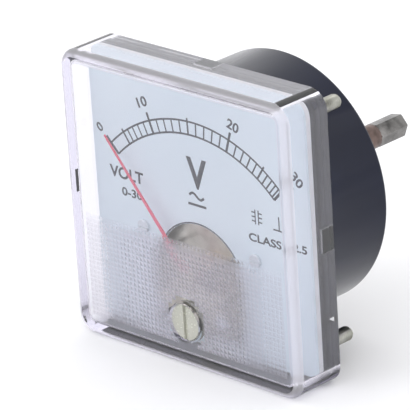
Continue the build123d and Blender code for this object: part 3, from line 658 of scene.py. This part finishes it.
for words, width, height, radius, angle in [
    ("0", 1.4, 2.0, 36.6, -44.4),
    ("10", 2.7, 2.1, 36.5, -21.4),
    ("20", 3.1, 2.1, 36.0, 17.7),
    ("30", 3.1, 2.1, 36.3, 43.3),
]:
    spot = on_dial(radius, angle)
    print_text("dial_number_" + words, words, width, height, spot.x / MM, spot.z / MM, angle)
print_text("dial_unit", "V", 5.4, 6.4, 0.5, 8.5)
print_text("dial_word", "VOLT", 9.2, 2.5, -19.0, 4.0)
print_text("dial_range", "0-30", 5.6, 1.8, -17.8, 0.2)
print_text("dial_class", "CLASS 2.5", 13.0, 1.7, 20.0, -1.2)

# ---------------------------------------------------------------- threaded studs
stud_lo, stud_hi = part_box("mounting_studs")
stud_head_r = 2.6 * MM
stud_head_t = 1.6 * MM
stud_neck_r = 1.9 * MM
stud_r = 1.5 * MM
thread_pitch = 0.5 * MM
thread_depth = 0.28 * MM
stud_end_chamfer = 0.5 * MM
stud_end_drop = 0.35 * MM


def threaded_rod(bm, x, z, y0, y1, radius, pitch, depth):
    """Closed rod along +Y with a helical thread and chamfered end."""
    around, per_turn = 36, 6
    rows = int((y1 - y0) / pitch * per_turn)
    rings = []
    for row in range(rows + 1):
        y = y0 + (y1 - y0) * row / rows
        end_taper = min(1.0, max(0.0, (y1 - y) / stud_end_chamfer))
        ring = []
        for step in range(around):
            turn = 2 * math.pi * step / around
            phase = ((y - y0) / pitch - step / around) % 1.0
            groove = 1 - abs(2 * phase - 1)
            r = radius - depth * groove - stud_end_drop * (1 - end_taper)
            ring.append(bm.verts.new((x + r * math.cos(turn), y, z + r * math.sin(turn))))
        rings.append(ring)
    for low, high in zip(rings, rings[1:]):
        for step in range(around):
            after = (step + 1) % around
            bm.faces.new((low[step], low[after], high[after], high[step]))
    bm.faces.new(rings[0])
    bm.faces.new(rings[-1][::-1])


def lathe(bm, x, z, profile, around=40):
    """Closed turned solid along Y from (radius, y) points, whose ends are on the axis."""
    first = bm.verts.new((x, profile[0][1], z))
    last = bm.verts.new((x, profile[-1][1], z))
    rings = []
    for r, y in profile[1:-1]:
        turns = [2 * math.pi * step / around for step in range(around)]
        rings.append([bm.verts.new((x + r * math.cos(t), y, z + r * math.sin(t))) for t in turns])
    for step in range(around):
        after = (step + 1) % around
        bm.faces.new((first, rings[0][step], rings[0][after]))
        bm.faces.new((last, rings[-1][after], rings[-1][step]))
        for low, high in zip(rings, rings[1:]):
            bm.faces.new((low[step], high[step], high[after], low[after]))


stud_mesh = bmesh.new()
head_back = stud_lo.y + stud_head_t
head_bevel = 0.15 * MM
head_profile = [
    (0, stud_lo.y),
    (stud_head_r - head_bevel, stud_lo.y),
    (stud_head_r, stud_lo.y + head_bevel),
    (stud_head_r, head_back),
    (stud_neck_r, head_back),
    (stud_neck_r, 0.0),
    (0, 0.0),
]
for x in (stud_lo.x + stud_head_r, stud_hi.x - stud_head_r):
    for z in (stud_lo.z + stud_head_r, stud_hi.z - stud_head_r):
        threaded_rod(stud_mesh, x, z, 0.0, stud_hi.y, stud_r, thread_pitch, thread_depth)
        lathe(stud_mesh, x, z, head_profile)
bmesh.ops.recalc_face_normals(stud_mesh, faces=stud_mesh.faces)
smooth_by_angle(stud_mesh, 38)
studs = add_piece("threaded_studs", stud_mesh, finishes["zinc_stud"])
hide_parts("mounting_studs")

# ---------------------------------------------------------------- soft edges on the shown CAD pieces
for node_name, width_mm in [
    ("terminal_posts", 0.12),
    ("terminal_collars", 0.1),
    ("insulating_bushes", 0.12),
    ("zero_adjuster", 0.06),
    ("base_housing", 0.08),
]:
    weld = nodes[node_name].modifiers.new("weld", "WELD")
    weld.merge_threshold = 1e-6
    rounding = nodes[node_name].modifiers.new("edges", "BEVEL")
    rounding.width = width_mm * MM
    rounding.segments = 2
    rounding.limit_method = "ANGLE"
    rounding.angle_limit = math.radians(35)

# ---------------------------------------------------------------- floor, light and camera
floor_size = 4.0
floor_mesh = bmesh.new()
bmesh.ops.create_grid(floor_mesh, x_segments=2, y_segments=2, size=floor_size)
bmesh.ops.translate(floor_mesh, verts=floor_mesh.verts, vec=(0, 0, cad_box[0].z))
floor_data = bpy.data.meshes.new("floor")
floor_mesh.to_mesh(floor_data)
floor_mesh.free()
floor = bpy.data.objects.new("floor", floor_data)
floor_data.materials.append(floor_white)
scene.collection.objects.link(floor)

world = bpy.data.worlds.new("studio")
scene.world = world
world.use_nodes = True
background = world.node_tree.nodes["Background"]
background.inputs["Color"].default_value = (0.985, 0.985, 1.0, 1)
background.inputs["Strength"].default_value = 1.18
scene.view_settings.view_transform = "Standard"


def soft_box(name, location, size, power):
    """Area light that faces the meter."""
    light = bpy.data.lights.new(name, "AREA")
    light.shape = "SQUARE"
    light.size = size
    light.energy = power
    lamp = bpy.data.objects.new(name, light)
    lamp.location = location
    aim = Vector((0, 0, 0)) - lamp.location
    lamp.rotation_euler = aim.to_track_quat("-Z", "Y").to_euler()
    scene.collection.objects.link(lamp)


soft_box("key", Vector((-0.35, -0.55, 0.65)), 0.45, 1.2)
soft_box("fill", Vector((0.75, -0.15, 0.55)), 0.5, 0.4)

camera_at = Vector((0.49673, -0.49611, 0.28319))
azimuth = math.radians(45.27)
elevation = math.radians(21.96)
roll = math.radians(-3.74)
forward = Vector(
    (-math.sin(azimuth) * math.cos(elevation), math.cos(azimuth) * math.cos(elevation), -math.sin(elevation))
)
right = Vector((math.cos(azimuth), math.sin(azimuth), 0))
up = right.cross(forward)
camera_x = math.cos(roll) * right + math.sin(roll) * up
camera_y = -math.sin(roll) * right + math.cos(roll) * up
camera_data = bpy.data.cameras.new("camera")
camera_data.lens = 342.9
camera_data.sensor_width = 36
camera_data.clip_start = 0.01
camera_data.clip_end = 20
camera = bpy.data.objects.new("camera", camera_data)
turn = Matrix((camera_x, camera_y, -forward)).transposed().to_4x4()
camera.matrix_world = Matrix.Translation(camera_at) @ turn
scene.collection.objects.link(camera)
scene.camera = camera
